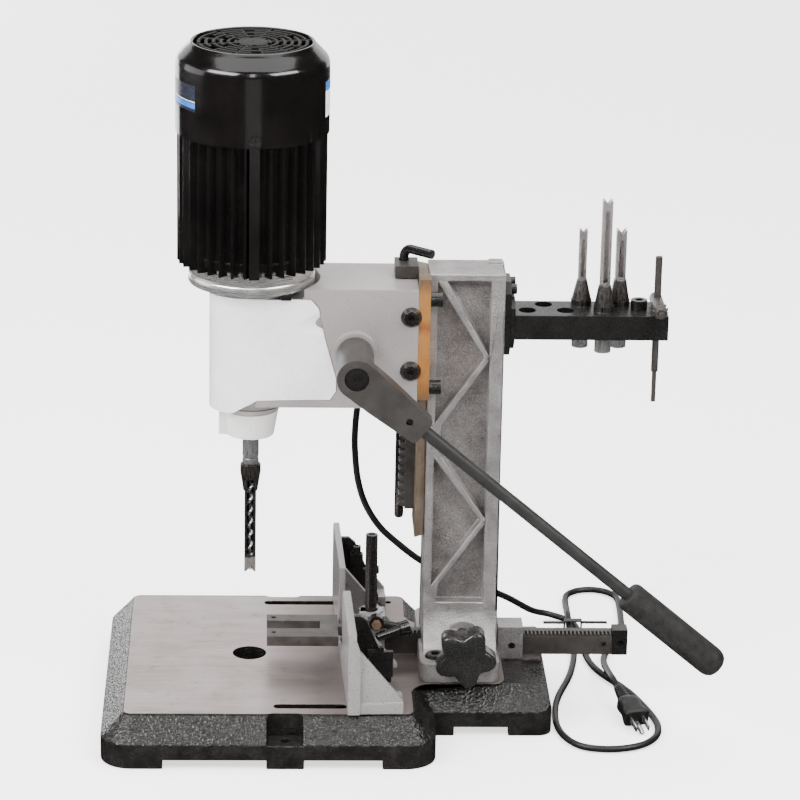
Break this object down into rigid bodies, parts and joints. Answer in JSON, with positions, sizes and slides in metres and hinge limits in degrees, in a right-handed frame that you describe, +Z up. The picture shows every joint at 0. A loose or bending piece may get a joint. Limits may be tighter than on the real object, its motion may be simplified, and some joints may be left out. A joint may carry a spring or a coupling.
{
  "type": "bench-top hollow chisel mortising machine",
  "caption": "Bench-top hollow chisel mortiser: rack-fed motor head on a dovetail column, table with sliding fence and hold-down, lever, tool rack and power cord.",
  "frame": {"origin": "on the spindle axis at the plane the feet stand on, at the bottom of the round hole through the table", "axes": "+Z up along the spindle, +X from the chisel to the back of the machine, -Y the side with the feed lever"},
  "size_m": [0.5989, 0.4554, 0.6706],
  "materials": {
    "black_paint": "textured enamel over cast iron with a ground steel top",
    "silver_paint": "silver enamel",
    "cast_aluminium": "as cast, bead blasted",
    "bright_aluminium": "machined",
    "dark_steel": "black oxide",
    "bright_steel": "ground",
    "way_steel": "oiled, ground",
    "brass": "machined",
    "lever_steel": "phosphated",
    "grip": "matt",
    "black_plastic": "matt",
    "black_gloss": "gloss enamel",
    "red_plastic": "gloss",
    "cord_rubber": "matt"
  },
  "bodies": {
    "frame": {"base_casting": "black_paint", "column_casting": "cast_aluminium", "column_bolts": "dark_steel", "dovetail_way": "way_steel", "way_screws": "dark_steel", "feed_rack": "dark_steel", "stop_block": "dark_steel", "tool_rack_flange": "black_gloss", "tool_rack_bar": "black_gloss", "tool_rack_screws": "dark_steel", "fence_guide": "bright_aluminium", "guide_screws": "dark_steel", "power_cord": "cord_rubber", "cord_tie": "black_plastic", "plug": "black_plastic"},
    "stop": {"stop_rod": "dark_steel"},
    "spare_a": {"spare_chisel_a": "bright_steel"},
    "spare_b": {"spare_chisel_b": "bright_steel"},
    "spare_c": {"spare_chisel_c": "bright_steel"},
    "key": {"chuck_key": "dark_steel"},
    "fence": {"fence_casting": "cast_aluminium", "fence_bar": "dark_steel", "bar_end_block": "dark_steel", "fence_brackets": "black_gloss", "bracket_screws": "dark_steel"},
    "knob": {"star_knob": "black_plastic", "fence_pinion": "dark_steel"},
    "hold_down": {"hold_fork": "bright_steel", "hold_post": "dark_steel"},
    "lock": {"lock_screw": "dark_steel", "lock_handle": "black_plastic"},
    "head": {"head_casting": "silver_paint", "brass_gib": "brass", "gib_screws": "dark_steel", "side_screws": "dark_steel", "motor_end_bell": "bright_aluminium", "motor_body": "black_gloss", "fan_cover": "black_gloss", "cover_screws": "dark_steel", "motor_bearings": "bright_steel", "chisel_holder": "cast_aluminium", "holder_screw": "dark_steel", "mortising_chisel": "bright_steel", "switch_box": "black_plastic", "cord_gland": "black_plastic"},
    "cover": {"chuck_cover": "silver_paint"},
    "switch": {"switch_paddle": "red_plastic"},
    "lever": {"feed_pinion": "dark_steel", "lever_hub": "lever_steel", "lever_arm": "lever_steel", "lever_screw": "dark_steel", "lever_rod": "lever_steel", "lever_grip": "grip"},
    "spindle": {"motor_shaft": "bright_steel", "motor_rotor": "bright_steel", "motor_fan": "black_plastic", "chuck_body": "bright_steel", "chuck_jaws": "bright_steel", "auger_bit": "dark_steel"}
  },
  "joints": [
    {"name": "head_feed", "type": "slide", "parent": "frame", "child": "head", "axis": [0, 0, -1], "range_m": [0, 0.1], "deforming": ["power_cord"]},
    {"name": "lever_turn", "type": "hinge", "parent": "head", "child": "lever", "pos_m": [0.099, 0, 0.378], "axis": [0, -1, 0], "range_deg": [0, 120]},
    {"name": "spindle_spin", "type": "hinge", "parent": "head", "child": "spindle", "pos_m": [0, 0, 0.37], "axis": [0, 0, 1], "continuous": true},
    {"name": "cover_pull", "type": "slide", "parent": "head", "child": "cover", "axis": [-1, 0, 0], "range_m": [0, 0.13]},
    {"name": "switch_flip", "type": "hinge", "parent": "head", "child": "switch", "pos_m": [0.1, 0.082, 0.394], "axis": [1, 0, 0], "range_deg": [0, 12]},
    {"name": "fence_slide", "type": "slide", "parent": "frame", "child": "fence", "axis": [1, 0, 0], "range_m": [-0.055, 0.004]},
    {"name": "fence_knob", "type": "hinge", "parent": "frame", "child": "knob", "pos_m": [0.2095, 0, 0.08145], "axis": [0, 1, 0], "range_deg": [-25, 320]},
    {"name": "hold_slide", "type": "slide", "parent": "fence", "child": "hold_down", "axis": [0, 0, 1], "range_m": [-0.006, 0.045]},
    {"name": "lock_turn", "type": "hinge", "parent": "fence", "child": "lock", "pos_m": [0.125, 0, 0.09], "axis": [0, 1, 0], "range_deg": [-70, 5]},
    {"name": "stop_slide", "type": "slide", "parent": "frame", "child": "stop", "axis": [0, 0, 1], "range_m": [0, 0.08]},
    {"name": "spare_a_lift", "type": "slide", "parent": "frame", "child": "spare_a", "axis": [0, 0, 1], "range_m": [0, 0.06]},
    {"name": "spare_b_lift", "type": "slide", "parent": "frame", "child": "spare_b", "axis": [0, 0, 1], "range_m": [0, 0.06]},
    {"name": "spare_c_lift", "type": "slide", "parent": "frame", "child": "spare_c", "axis": [0, 0, 1], "range_m": [0, 0.06]},
    {"name": "key_lift", "type": "slide", "parent": "frame", "child": "key", "axis": [0, 0, 1], "range_m": [0, 0.1]}
  ],
  "couplings": [
    {"joint": "lever_turn", "follows": "head_feed", "rad_per_m": 20.779},
    {"joint": "fence_knob", "follows": "fence_slide", "rad_per_m": -100}
  ]
}
